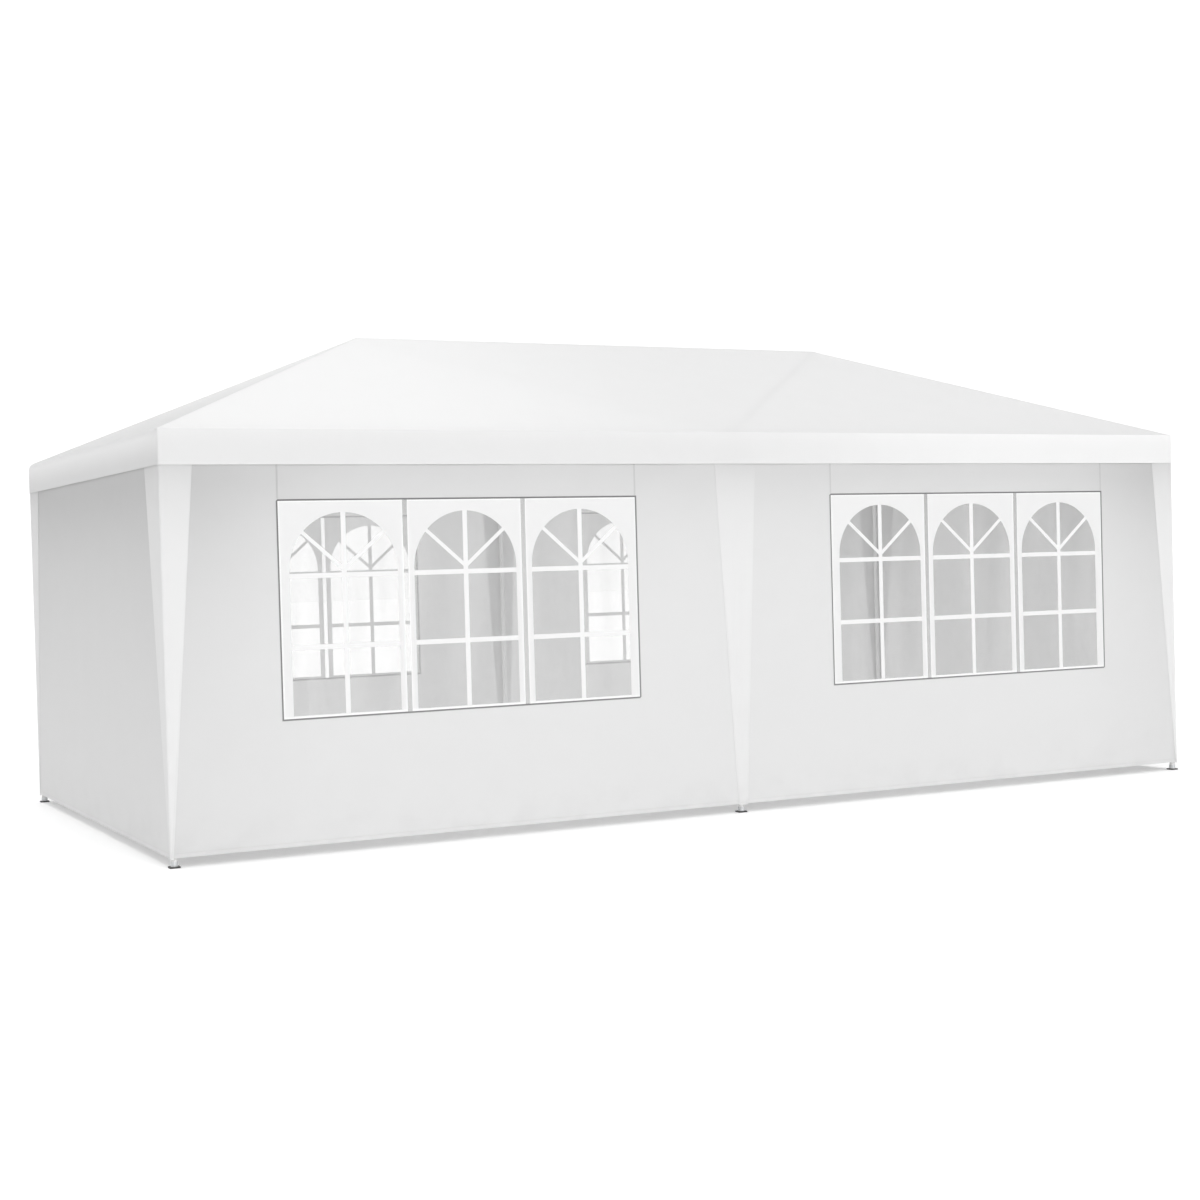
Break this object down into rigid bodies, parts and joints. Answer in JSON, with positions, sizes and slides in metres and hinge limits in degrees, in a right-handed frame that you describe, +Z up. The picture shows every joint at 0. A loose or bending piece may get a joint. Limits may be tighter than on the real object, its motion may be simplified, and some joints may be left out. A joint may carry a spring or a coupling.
{
  "type": "party tent",
  "caption": "Rectangular party tent with a hipped cover, straight valance, tapered leg drapes, side walls with clear arched windows, and a tube frame on foot plates.",
  "frame": {"origin": "on the ground, under the middle of the ridge", "axes": "+X along the long sides, to the right as the front is seen; +Y from the front long side to the back; +Z up"},
  "size_m": [6, 3, 2.586],
  "materials": {
    "cover_fabric": "white woven polyethylene cloth, satin",
    "wall_fabric": "white woven polyethylene cloth, thin enough to pass some light, satin",
    "white_print": "white print on clear film",
    "clear_film": "clear soft plastic film, glossy",
    "frame_tube": "white powder coat on thin steel tube",
    "foot_steel": "dull zinc-plated steel socket on a steel plate painted black"
  },
  "bodies": {
    "root": {"corner_joint_back_left": "frame_tube", "corner_joint_back_right": "frame_tube", "corner_joint_front_left": "frame_tube", "corner_joint_front_right": "frame_tube", "eave_tube_back_left": "frame_tube", "eave_tube_back_right": "frame_tube", "eave_tube_front_left": "frame_tube", "eave_tube_front_right": "frame_tube", "eave_tube_left_end": "frame_tube", "eave_tube_right_end": "frame_tube", "foot_back_left": "foot_steel", "foot_back_middle": "foot_steel", "foot_back_right": "foot_steel", "foot_front_left": "foot_steel", "foot_front_middle": "foot_steel", "foot_front_right": "foot_steel", "hip_rafter_back_left": "frame_tube", "hip_rafter_back_right": "frame_tube", "hip_rafter_front_left": "frame_tube", "hip_rafter_front_right": "frame_tube", "leg_back_left": "frame_tube", "leg_back_middle": "frame_tube", "leg_back_right": "frame_tube", "leg_drape_back_left": "cover_fabric", "leg_drape_back_middle": "cover_fabric", "leg_drape_back_right": "cover_fabric", "leg_drape_front_left": "cover_fabric", "leg_drape_front_middle": "cover_fabric", "leg_drape_front_right": "cover_fabric", "leg_front_left": "frame_tube", "leg_front_middle": "frame_tube", "leg_front_right": "frame_tube", "middle_joint_back": "frame_tube", "middle_joint_front": "frame_tube", "middle_rafter_back_left": "frame_tube", "middle_rafter_back_right": "frame_tube", "middle_rafter_front_left": "frame_tube", "middle_rafter_front_right": "frame_tube", "peak_joint_left": "frame_tube", "peak_joint_right": "frame_tube", "ridge_tube": "frame_tube", "roof_cover": "cover_fabric", "wall_back_left": "wall_fabric", "wall_back_right": "wall_fabric", "wall_front_left": "wall_fabric", "wall_front_right": "wall_fabric", "wall_left_end": "wall_fabric", "wall_right_end": "wall_fabric", "window_print_back_left": "white_print", "window_print_back_right": "white_print", "window_print_front_left": "white_print", "window_print_front_right": "white_print", "window_sheet_back_left": "clear_film", "window_sheet_back_right": "clear_film", "window_sheet_front_left": "clear_film", "window_sheet_front_right": "clear_film"}
  },
  "joints": []
}
